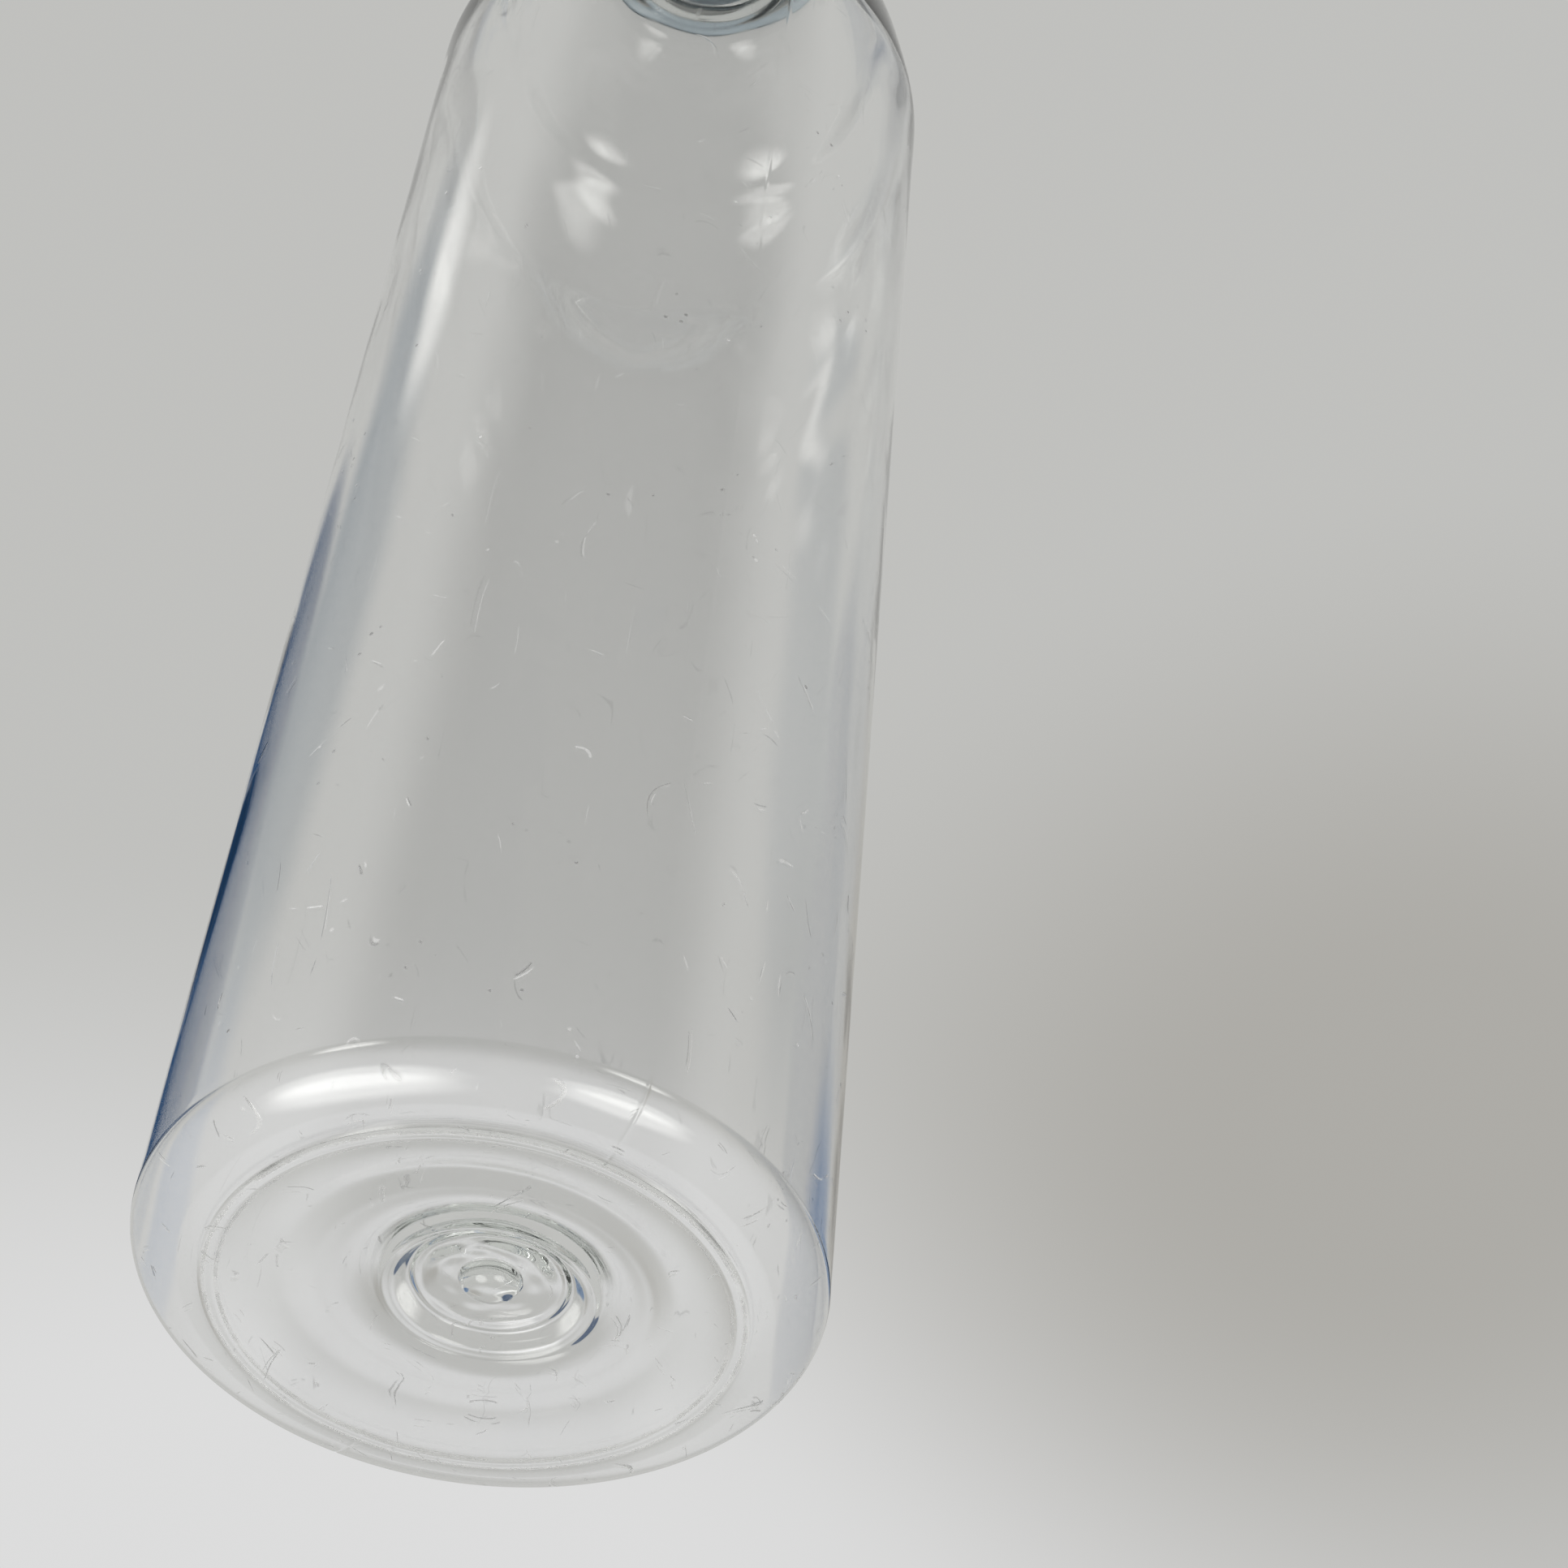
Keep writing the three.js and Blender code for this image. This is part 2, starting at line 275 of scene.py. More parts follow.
def helical_ridge(height, angle, start, turns):
    """1 on a thread's crest and 0 off it, faded out over the thread's two ends."""
    part = (angle % FULL_TURN) / FULL_TURN
    level = (height - start) / THREAD_PITCH - part
    whole = np.round(level)
    along = whole + part
    run_out = 0.08
    fade = smoothstep(0.0, run_out, along) * (1 - smoothstep(turns - run_out, turns, along))
    return (1 - smoothstep(0.35, 0.85, np.abs(level - whole) * THREAD_PITCH)) * fade


# ---- bottle ----

def base_height(radius):
    """Height of the base's underside inside the foot ring: panel, cone, centre step, grooves, gate nub."""
    panel = np.interp(
        radius, (0, CONE_START, FOOT_INNER_RADIUS), (BASE_HEIGHT + BASE_DISH, BASE_HEIGHT, FOOT_STEP)
    )
    step = STEP_HEIGHT * (1 - smoothstep(STEP_RADIUS, STEP_FOOT_RADIUS, radius))
    grooves = sum(depth * bump_at(radius, middle, width) for middle, width, depth in BASE_GROOVES)
    nub = NUB_HEIGHT * np.sqrt(np.clip(1 - (radius / NUB_RADIUS) ** 2, 0, 1))
    return panel + step - grooves - nub


def base_outside():
    radii = np.concatenate([
        np.linspace(0, NUB_RADIUS - 0.3, 16),
        np.linspace(NUB_RADIUS - 0.25, NUB_RADIUS + 0.05, 6),
        np.linspace(NUB_RADIUS + 0.2, 12.0, 50),
        np.linspace(12.5, FOOT_INNER_RADIUS, 30),
    ])
    return np.stack([radii, base_height(radii)], axis=-1)


def foot_outside():
    """The foot ring's flat land, with a small round on each side."""
    inner, outer = FOOT_INNER_RADIUS, FOOT_OUTER_RADIUS
    return join(
        curve((inner + 0.05, FOOT_STEP - 0.015), (inner + 0.3, 0.0), (inner + 0.5, 0.0), 5),
        line((inner + 0.55, 0.0), (outer - 0.1, 0.0), 0.2),
        curve((outer, 0.0), (outer + 0.2, 0.0), (outer + 0.45, FOOT_STEP - 0.01), 5),
    )


def heel_outside():
    """The heel's elliptical round, from just above the foot's land to the straight body."""
    steps = 30
    centre_radius = BODY_RADIUS - HEEL_WIDTH
    start = -math.degrees(math.acos((FOOT_OUTER_RADIUS + 0.5 - centre_radius) / HEEL_WIDTH))
    points = arc((centre_radius, HEEL_HEIGHT), (HEEL_WIDTH, HEEL_HEIGHT), start, 0, steps)
    points[:, 1] += (FOOT_STEP - points[0, 1]) * (1 - np.linspace(0, 1, steps + 1))
    return points


def shoulder_radius(height):
    """Radius of the shoulder's dome, with the shallow groove that runs round it."""
    rise = (np.clip(height - SHOULDER_START, 0, None) / SHOULDER_RISE) ** SHOULDER_POWER
    dome = DOME_TOP_RADIUS + (BODY_RADIUS - DOME_TOP_RADIUS) * (1 - rise) ** (1 / SHOULDER_POWER)
    return dome - SHOULDER_GROOVE * bump_at(height, SHOULDER_GROOVE_HEIGHT, SHOULDER_GROOVE_WIDTH)


def shoulder(wall_low, wall_high, drop):
    """The dome up to where it turns into the neck, set in by a wall that changes evenly on the way up."""
    part = 1 - (1 - np.linspace(0, 1, SHOULDER_STEPS + 1)) ** 1.3
    height = SHOULDER_START + (SHOULDER_END - SHOULDER_START) * part
    wall = wall_high * part + wall_low * (1 - part)
    return np.stack([shoulder_radius(height) - wall, height - drop * part], axis=-1)


def neck_fillet(start, radius, drop):
    """The round where the dome turns up into the neck."""
    return curve(start, (radius, SHOULDER_END + NECK_FILLET - drop), (radius, NECK_START), 14)


def finish_outside():
    """Up the neck and over the support ring, the bead, the thread's root and the mouth."""
    root, ring, bead, bore = FINISH_ROOT_RADIUS, SUPPORT_RING_RADIUS, BEAD_RADIUS, FINISH_BORE_RADIUS
    ring_low, ring_high = SUPPORT_RING_BOTTOM, SUPPORT_RING_TOP
    return join(
        line((NECK_RADIUS, NECK_START), (NECK_RADIUS, ring_low - 0.4), 1.2),
        arc((NECK_RADIUS + 0.4, ring_low - 0.4), 0.4, 180, 90, 3),
        line((NECK_RADIUS + 0.6, ring_low), (ring - 0.6, ring_low), 1.0),
        arc((ring - 0.4, ring_low + 0.4), 0.4, -90, 0, 4),
        arc((ring - 0.4, ring_high - 0.8), 0.4, 0, 80, 4),
        arc((root + 0.5, ring_high + 0.5), 0.5, -90, -180, 4),
        line((root, ring_high + 0.6), (root, BEAD_BOTTOM - 0.2), 0.9),
        curve((root, BEAD_BOTTOM - 0.1), (root, BEAD_BOTTOM), (bead - 0.2, BEAD_BOTTOM), 3),
        arc((bead - 0.25, BEAD_BOTTOM + 0.25), 0.25, -90, 20, 4),
        line((bead - 0.3, BEAD_TOP - 0.5), (root + 0.1, BEAD_TOP), 0.6),
        line((root, BEAD_TOP + 0.15), (root, MOUTH - 0.6), 0.16),
        arc((root - 0.5, MOUTH - 0.5), 0.5, 0, 90, 5),
        arc((bore + 0.25, MOUTH - 0.25), 0.25, 90, 180, 4),
    )


def bottle_outside():
    dome = shoulder(0.0, 0.0, 0.0)
    body = line((BODY_RADIUS, HEEL_HEIGHT + 0.9), (BODY_RADIUS, SHOULDER_START), BODY_SPACING)
    fillet = neck_fillet(dome[-1], NECK_RADIUS, 0.0)
    return join(base_outside(), foot_outside(), heel_outside(), body, dome, fillet, finish_outside())


def bottle_inside():
    """From the centre of the base up to the mouth; the base is thickest in the middle."""
    neck, bore = NECK_RADIUS - NECK_WALL, FINISH_BORE_RADIUS
    heel_centre = (BODY_RADIUS - HEEL_WIDTH, HEEL_HEIGHT)
    dome = shoulder(BODY_WALL, SHOULDER_WALL, SHOULDER_DROP)
    return join(
        curve((0.0, 5.5), (4.5, 5.5), (8.5, 4.0), 16),
        curve((8.5, 4.0), (11.0, 2.95), (13.0, 2.95), 10),
        curve((13.0, 2.95), (16.0, 2.95), (17.5, 2.45), 12),
        curve((17.5, 2.45), (21.5, 1.12), (24.3, 1.12), 20),
        arc(heel_centre, (HEEL_WIDTH - BODY_WALL, HEEL_HEIGHT - HEEL_WALL), -64, 0, 24),
        line((BORE_RADIUS, 5.4), (BORE_RADIUS, SHOULDER_START), BODY_SPACING),
        dome,
        neck_fillet(dome[-1], neck, SHOULDER_DROP),
        curve((neck - 0.05, NECK_START + 0.5), (bore, NECK_START + 2), (bore, NECK_START + 4), 5),
        line((bore, NECK_START + 5), (bore, MOUTH - 0.3), 1.2),
    )


def base_unevenness(radius, angle):
    """Broad sags in the base's middle, and fine ripples between the step and the nub."""
    sags = waves(angle, radius, 5, count=10, turns=(1, 4), length=(3.0, 9.0))
    ripples = waves(angle, radius, 9, turns=(3, 9), length=(1.5, 4.0))
    near_gate = np.clip(1 - radius / 12.0, 0, 1) * smoothstep(2.6, 4.0, radius)
    return 0.16 * bump_at(radius, 6.6, 3.6) * sags + 0.06 * near_gate * ripples


def seam_depth(radius, height, angle):
    """Depth of the fine groove where the mould's halves met, deepest on the heel."""
    depth = 0.006 + 0.1 * (1 - smoothstep(2.0, 5.0, height))
    return depth * sum(bump_at(angle_from(angle, seam) * radius, 0.0, 0.14) for seam in SEAM_ANGLES)


def wall_waviness(height, angle, outer):
    """Slow ripples of the blown wall, larger inside than outside and largest on the shoulder."""
    ripple = np.where(outer, 0.012, 0.035) * waves(
        angle, height, 21, count=16, turns=(2, 9), length=(25.0, 140.0)
    )
    dome = smoothstep(176.0, 200.0, height) * (1 - smoothstep(222.0, 232.0, height))
    sag = np.where(outer, 1.0, 1.3) * dome * waves(
        angle + 0.3 * ~outer, height, 40, count=12, turns=(2, 6), length=(14.0, 40.0)
    )
    return smoothstep(BASE_TOP, 30.0, height) * (ripple + SHOULDER_UNEVENNESS * sag)


def bottle_shape(outside_rows):
    """Takes the turned surface off its perfect round; the first outside_rows rows are the outside."""
    def displace(radius, height, angle):
        outer = np.broadcast_to(np.arange(len(radius))[:, None] < outside_rows - 1, radius.shape)
        base = outer & (radius < FOOT_INNER_RADIUS) & (height < BASE_TOP)
        height = np.where(base, height + base_unevenness(radius, angle), height)
        seamed = outer & ~base & (height > 0.05) & (height < SUPPORT_RING_BOTTOM)
        radius = np.where(seamed, radius - seam_depth(radius, height, angle), radius)
        threaded = outer & (height > BEAD_TOP) & (height < MOUTH - 0.6)
        ridge = helical_ridge(height, angle, THREAD_START, THREAD_TURNS)
        radius = np.where(threaded, radius + (THREAD_CREST_RADIUS - FINISH_ROOT_RADIUS) * ridge, radius)
        wall = (height > BASE_TOP) & (height < SUPPORT_RING_BOTTOM) & (radius > FINISH_BORE_RADIUS)
        return radius + wall * wall_waviness(height, angle, outer), height
    return displace


def gate_shift(radius, height):
    """How far the middle of the base follows the off-centre gate."""
    return (1 - smoothstep(9.5, 20.0, radius)) * (height < 9.0)


def make_bottle():
    outside = bottle_outside()
    profile = np.vstack([outside, bottle_inside()[::-1]])
    return revolve("bottle_clear", profile, seamed_angles(224), bottle_shape(len(outside)), gate_shift)


# ---- tamper ring and washer ----

def tamper_shape(radius, height, angle):
    """Adds the stubs of the torn bridges on the top edge and fine ribs round the outside."""
    top = height > TAMPER_HIGH.z - 0.01
    stub = np.clip(np.cos(TAMPER_BRIDGES * angle) - 0.93, 0, 1) / 0.07
    uneven = 0.75 + 0.25 * waves(angle, height, 33, count=8, turns=(3, 11))
    raised = TAMPER_STUB * smoothstep(0.0, 0.5, stub) * np.clip(uneven, 0.2, 1.0)
    side = (radius > TAMPER_HIGH.x - 0.01) & (height > TAMPER_LOW.z + 0.2)
    ribs = TAMPER_RIB_DEPTH * (0.5 + 0.5 * np.cos(TAMPER_RIBS * angle))
    return radius - np.where(side, ribs, 0.0), height + np.where(top, raised, 0.0)


def make_tamper_ring():
    low, high, outer = TAMPER_LOW.z, TAMPER_HIGH.z, TAMPER_HIGH.x
    inner_low, inner_top = TAMPER_LOW_INNER_RADIUS, TAMPER_TOP_INNER_RADIUS
    profile = join(
        arc((inner_low + 0.2, low + 0.2), 0.2, 180, 270, 3),
        line((inner_low + 0.4, low), (outer - 0.4, low), 0.3),
        arc((outer - 0.3, low + 0.3), 0.3, -90, 0, 4),
        line((outer, low + 0.35), (outer, high - 0.3), 0.4),
        arc((outer - 0.2, high - 0.2), 0.2, 0, 90, 3),
        line((outer - 0.35, high), (inner_top + 0.25, high), 0.22),
        arc((inner_top + 0.15, high - 0.15), 0.15, 90, 180, 3),
        line((inner_top + 0.01, high - 0.3), (inner_low, low + 0.3), 0.4),
    )
    return revolve("tamper_ring_band", profile, even_angles(36 * TAMPER_BRIDGES), tamper_shape)


def make_washer():
    """A flat ring with rounded edges and a shallow groove in its underside."""
    low, high = WASHER_LOW.z, WASHER_HIGH.z
    inner, outer = WASHER_INNER_RADIUS, WASHER_HIGH.x
    edge = 0.25
    profile = join(
        arc((inner + edge, low + edge), edge, 180, 270, 4),
        line((inner + 0.4, low), (inner + 0.9, low), 0.25),
        curve((inner + 1.0, low), (WASHER_GROOVE_RADIUS, low + 0.16), (outer - 0.8, low), 8),
        arc((outer - edge, low + edge), edge, -90, 0, 4),
        [(outer - 0.05, (low + high) / 2)],
        arc((outer - edge, high - edge), edge, 0, 90, 4),
        line((outer - 0.5, high), (inner + 0.5, high), 0.3),
        arc((inner + edge, high - edge), edge, 90, 180, 4),
    )
    return revolve("sealing_washer_ring", profile, even_angles(160))


# ---- funnel ----

def spout_and_socket():
    """From the spout's lip, up its outside, over the socket's ceiling and down its threaded bore."""
    spout, bore, ceiling, bottom = SPOUT_RADIUS, SOCKET_BORE, SOCKET_CEILING, SOCKET_BOTTOM
    lip = FUNNEL_LOW.z
    return join(
        arc((SPOUT_BORE + 0.4, lip + 0.4), 0.4, 180, 270, 4),
        arc((spout - 0.5, lip + 0.5), 0.5, -90, 0, 5),
        line((spout, lip + 1), (spout, ceiling - 1), 1.5),
        arc((spout + 0.8, ceiling - 0.8), 0.8, 180, 90, 5),
        line((spout + 1.2, ceiling), (bore - 0.5, ceiling), 0.8),
        arc((bore - 0.4, ceiling - 0.4), 0.4, 90, 0, 3),
        line((bore, ceiling - 0.5), (bore, bottom + 0.4), 0.18),
        arc((bore + 0.35, bottom + 0.35), 0.35, 180, 270, 4),
    )


def socket_and_cone_outside():
    """Up the socket's outside, round the neck under the cone, and up the cone to the bowl's wall."""
    socket, top = SOCKET_RADIUS, SOCKET_CEILING
    return join(
        arc((socket - 0.5, SOCKET_BOTTOM + 0.5), 0.5, -90, 0, 5),
        line((socket, SOCKET_BOTTOM + 0.7), (socket, top + 0.9), 0.45),
        curve((socket, top + 1.2), (socket, top + 2.6), (14.2, top + 2.7), 8),
        curve((14.0, top + 2.7), (11.9, top + 2.75), (12.7, top + 4.5), 8),
        line((12.9, top + 4.75), (LEDGE_RADIUS + 1.6, LEDGE - 2.3), 1.2),
        curve((LEDGE_RADIUS + 1.9, LEDGE - 1.95), (RIM_RADIUS, LEDGE - 0.4), (RIM_RADIUS, LEDGE + 1.4), 8),
    )


def bowl_and_throat():
    """Up the bowl's wall, over its knife edge, down inside past the screen's ledge and into the spout."""
    rim, bore, throat = RIM_RADIUS, BORE_RADIUS, SPOUT_BORE
    top = FUNNEL_HIGH.z
    knife = top - KNIFE_HEIGHT
    return join(
        line((rim, LEDGE + 1.8), (rim, knife - 0.3), 1.0),
        curve((rim, knife - 0.2), (rim, knife), (rim - 0.15, knife + 0.22), 4),
        line((rim - 0.2, knife + 0.3), (bore + 0.2, top - 0.05), 0.4),
        arc((bore + 0.1, top - 0.1), 0.1, 60, 180, 4),
        line((bore, top - 0.5), (bore, LEDGE + 0.5), 1.0),
        arc((bore - 0.4, LEDGE + 0.4), 0.4, 0, -90, 4),
        line((bore - 0.5, LEDGE), (LEDGE_RADIUS + 0.3, LEDGE), 0.4),
        curve((LEDGE_RADIUS + 0.2, LEDGE), (LEDGE_RADIUS, LEDGE), (LEDGE_RADIUS - 0.25, LEDGE - 0.3), 4),
        line((LEDGE_RADIUS - 0.4, LEDGE - 0.48), (throat + 1.6, THROAT + 0.9), 1.0),
        curve((throat + 1.4, THROAT + 0.65), (throat, THROAT - 1.0), (throat, THROAT - 3), 8),
        line((throat, THROAT - 3.5), (throat, FUNNEL_LOW.z + 0.6), 1.5),
    )


def funnel_shape(radius, height, angle):
    """Adds the socket's inside thread and its rounded grip ribs."""
    bore = (np.abs(radius - SOCKET_BORE) < 0.01) & (height < SOCKET_CEILING - 0.4)
    ridge = helical_ridge(height, angle, SOCKET_THREAD_START, SOCKET_THREAD_TURNS)
    thread = np.where(bore, (SOCKET_THREAD_CREST - SOCKET_BORE) * ridge, 0.0)
    outside = (np.abs(radius - SOCKET_RADIUS) < 0.01) & (height > SOCKET_BOTTOM)
    ends = smoothstep(SOCKET_BOTTOM + 0.6, SOCKET_BOTTOM + 1.6, height)
    ends = ends * (1 - smoothstep(SOCKET_CEILING - 0.6, SOCKET_CEILING + 0.5, height))
    rib = np.sqrt(np.clip(np.cos(GRIP_RIBS * angle) - 0.35, 0, 1) / 0.65)
    return radius + thread + np.where(outside, GRIP_RIB_DEPTH * rib * ends, 0.0), height


def make_funnel():
    profile = join(spout_and_socket(), socket_and_cone_outside(), bowl_and_throat())
    return revolve("funnel_shell", profile[::-1], even_angles(18 * GRIP_RIBS), funnel_shape)


# ---- debris screen ----

def screen_hole_places():
    """Centres of the holes: a triangular grid that leaves out the knob and the border."""
    outermost = SCREEN_HIGH.x - SCREEN_BORDER - SCREEN_HOLE_RADIUS
    row_step = SCREEN_HOLE_PITCH * math.sqrt(0.75)
    rows = math.ceil(SCREEN_HIGH.x / row_step)
    for row in range(-rows, rows + 1):
        for column in range(-rows - 1, rows + 2):
            x = (column + (row % 2) / 2) * SCREEN_HOLE_PITCH
            y = row * row_step
            if KNOB_RADIUS + SCREEN_HOLE_RADIUS <= math.hypot(x, y) <= outermost:
                yield x, y


def add_circle(data, x, y, radius):
    """A round Bezier spline of a curve object."""
    x, y, radius = x * MM, y * MM, radius * MM
    spline = data.splines.new("BEZIER")
    spline.bezier_points.add(3)
    handle = radius * 0.5523
    for point, (dx, dy) in zip(spline.bezier_points, ((1, 0), (0, 1), (-1, 0), (0, -1))):
        point.co = (x + dx * radius, y + dy * radius, 0)
        point.handle_left = (point.co.x + dy * handle, point.co.y - dx * handle, 0)
        point.handle_right = (point.co.x - dy * handle, point.co.y + dx * handle, 0)
    spline.use_cyclic_u = True


def screen_plate():
    """The perforated plate's mesh, with rounded edges round the outside and every hole."""
    data = bpy.data.curves.new("plate", "CURVE")
    data.dimensions = "2D"
    data.fill_mode = "BOTH"
    data.extrude = (SCREEN_THICKNESS / 2 - SCREEN_EDGE) * MM
    data.bevel_depth = SCREEN_EDGE * MM
    data.bevel_resolution = 2
    data.resolution_u = 10
    add_circle(data, 0, 0, SCREEN_HIGH.x - SCREEN_EDGE)
    for x, y in screen_hole_places():
        add_circle(data, x, y, SCREEN_HOLE_RADIUS + SCREEN_EDGE)
    plate = bpy.data.objects.new("plate", data)
    mesh = bpy.data.meshes.new_from_object(plate)
    bpy.data.objects.remove(plate)
    mesh.transform(Matrix.Translation((0, 0, (SCREEN_LOW.z + SCREEN_THICKNESS / 2) * MM)))
    weld = bmesh.new()
    weld.from_mesh(mesh)
    bmesh.ops.remove_doubles(weld, verts=weld.verts, dist=0.004 * MM)
    bmesh.ops.recalc_face_normals(weld, faces=weld.faces)
    weld.to_mesh(mesh)
    weld.free()
    return mesh


def screen_knob(foot, top):
    """A waisted knob with a dished top; its flared root is sunk into the plate."""
    widest = KNOB_RADIUS + 0.9
    return revolve("knob", join(
        [(0.0, foot - 0.6)],
        line((1.0, foot - 0.6), (KNOB_RADIUS + 0.2, foot - 0.6), 0.8),
        [(widest, foot - 0.3)],
        curve((widest - 0.1, foot + 0.02), (KNOB_WAIST + 0.1, foot + 0.2), (KNOB_WAIST, foot + 2.2), 8),
        line((KNOB_WAIST, foot + 2.6), (KNOB_WAIST, top - 3.4), 0.6),
        curve((KNOB_WAIST, top - 3.1), (KNOB_WAIST + 0.2, top - 2.1), (KNOB_WAIST + 1.1, top - 1.6), 6),
        arc((KNOB_RADIUS - 0.1, top - 0.8), (0.7, 0.8), -30, 90, 10),
        curve((KNOB_RADIUS - 0.4, top), (1.2, top - 0.35), (0.3, top - 0.35), 6),
        [(0.0, top - 0.35)],
    ), even_angles(64))


def screen_rim(foot):
    """The raised border round the plate."""
    inner = SCREEN_HIGH.x - SCREEN_RIM_WIDTH
    outer = SCREEN_HIGH.x - 0.3
    top = foot + SCREEN_RIM_HEIGHT
    edge = 0.3
    return revolve("rim", join(
        line((inner, foot - 0.5), (outer - 0.05, foot - 0.5), 0.6),
        line((outer, foot - 0.3), (outer, top - 0.35), 0.3),
        arc((outer - edge, top - edge), edge, 0, 90, 4),
        arc((inner + edge, top - edge), edge, 90, 180, 4),
    ), even_angles(192))


def make_screen():
    """The plate, its rim and its knob, joined as one moulding."""
    foot = SCREEN_LOW.z + SCREEN_THICKNESS
    piece = bpy.data.objects.new("debris_screen_plate", screen_plate())
    bpy.context.scene.collection.objects.link(piece)
    additions = (screen_knob(foot, SCREEN_HIGH.z), screen_rim(foot))
    for addition in additions:
        union = piece.modifiers.new("union", "BOOLEAN")
        union.operation = "UNION"
        union.solver = "EXACT"
        union.object = addition
    graph = bpy.context.evaluated_depsgraph_get()
    joined = bpy.data.meshes.new_from_object(piece.evaluated_get(graph))
    piece.modifiers.clear()
    piece.data = joined
    for addition in additions:
        bpy.data.objects.remove(addition)
    joined.shade_smooth()
    joined.set_sharp_from_angle(angle=math.radians(42))
    return piece


# ---- materials ----

class Nodes:
    """Short-hand for building a material's node tree. Noise scales are per metre, lengths in metres."""

    def __init__(self, name):
        self.material = bpy.data.materials.new(name)
        self.material.use_nodes = True
        self.tree = self.material.node_tree
        self.tree.nodes.clear()
        self.output = self.add("ShaderNodeOutputMaterial")

    def add(self, kind, **settings):
        node = self.tree.nodes.new(kind)
        for key, value in settings.items():
            setattr(node, key, value)
        return node

    def link(self, source, target):
        self.tree.links.new(source, target)

    def set(self, node, **values):
        for key, value in values.items():
            node.inputs[key.replace("_", " ")].default_value = value

    def position(self, scale=(1, 1, 1)):
        coordinates = self.add("ShaderNodeTexCoord")
        mapping = self.add("ShaderNodeMapping")
        self.set(mapping, Scale=scale)
        self.link(coordinates.outputs["Object"], mapping.inputs["Vector"])
        return mapping.outputs["Vector"]

    def separate(self, vector):
        node = self.add("ShaderNodeSeparateXYZ")
        self.link(vector, node.inputs[0])
        return node.outputs

    def noise(self, vector, scale, detail=2.0, roughness=0.5):
        node = self.add("ShaderNodeTexNoise")
        self.link(vector, node.inputs["Vector"])
        self.set(node, Scale=scale, Detail=detail, Roughness=roughness)
        return node.outputs["Fac"]

    def ramp(self, value, low, high, start=0.0, end=1.0):
        """A smooth step from start to end as the value goes from low to high."""
        node = self.add("ShaderNodeMapRange", interpolation_type="SMOOTHSTEP")
        self.link(value, node.inputs["Value"])
        self.set(node, From_Min=low, From_Max=high, To_Min=start, To_Max=end)
        return node.outputs["Result"]

    def math(self, operation, first, second=None):
        node = self.add("ShaderNodeMath", operation=operation)
        for socket, value in zip(node.inputs, (first, second)):
            if value is None:
                continue
            if isinstance(value, (int, float)):
                socket.default_value = value
            else:
                self.link(value, socket)
        return node.outputs[0]

    def mix(self, share, first, second):
        """A blend of two colours; either may be another node's output."""
        node = self.add("ShaderNodeMixRGB")
        self.link(share, node.inputs[0])
        for socket, value in zip(node.inputs[1:], (first, second)):
            if isinstance(value, tuple):
                socket.default_value = (*value, 1)
            else:
                self.link(value, socket)
        return node.outputs[0]

    def scratches(self, vector, scale, width, share):
        """Thin curved lines where a smooth noise crosses its middle, cut short by a second noise."""
        crossing = self.math("ABSOLUTE", self.math("SUBTRACT", self.noise(vector, scale * 0.35, 0.0), 0.5))
        lines = self.ramp(crossing, width * 0.4, width, 1.0, 0.0)
        pieces = self.ramp(self.noise(vector, scale, 1.0), share, share + 0.06)
        return self.math("MULTIPLY", lines, pieces)

    def bump(self, height, strength, distance, normal=None):
        node = self.add("ShaderNodeBump")
        self.set(node, Strength=strength, Distance=distance)
        self.link(height, node.inputs["Height"])
        if normal is not None:
            self.link(normal, node.inputs["Normal"])
        return node.outputs["Normal"]


def pet_scratches(n, place, height):
    """Curved scratches and finer upright ones, densest near the foot."""
    coarse = n.scratches(place, 260.0, 0.0048, 0.6)
    fine = n.scratches(n.position((1, 1, 0.3)), 520.0, 0.006, 0.59)
    marks = n.math("MAXIMUM", coarse, n.math("MULTIPLY", fine, 0.6))
    low = n.ramp(height, 0.004, 0.09, 1.0, 0.0)
    return n.math("MULTIPLY", marks, n.math("ADD", n.math("MULTIPLY", low, 0.75), 0.25))


def pet_specks(n, place):
    """Small specks of dust, in patches."""
    dust = n.add("ShaderNodeTexVoronoi")
    n.link(place, dust.inputs["Vector"])
    n.set(dust, Scale=420.0)
    specks = n.ramp(dust.outputs["Distance"], 0.07, 0.11, 1.0, 0.0)
    return n.math("MULTIPLY", specks, n.ramp(n.noise(place, 130.0), 0.6, 0.7))


def pet_foot_scuffs(n, place, axes):
    """Broken scuffed lines along both edges of the foot ring."""
    middle = (FOOT_INNER_RADIUS + FOOT_OUTER_RADIUS) / 2 * MM
    half_width = (FOOT_OUTER_RADIUS - FOOT_INNER_RADIUS) / 2 * MM
    squares = n.math("ADD", n.math("POWER", axes["X"], 2.0), n.math("POWER", axes["Y"], 2.0))
    off_middle = n.math("ABSOLUTE", n.math("SUBTRACT", n.math("SQRT", squares), middle))
    off_edge = n.math("ABSOLUTE", n.math("SUBTRACT", off_middle, half_width))
    low = n.ramp(axes["Z"], 0.0002, 0.0006, 1.0, 0.0)
    ring = n.math("MULTIPLY", n.ramp(off_edge, 0.0001, 0.00028, 1.0, 0.0), low)
    return n.math("MULTIPLY", ring, n.ramp(n.noise(place, 300.0, 3.0), 0.35, 0.6, 0.35, 1.0))


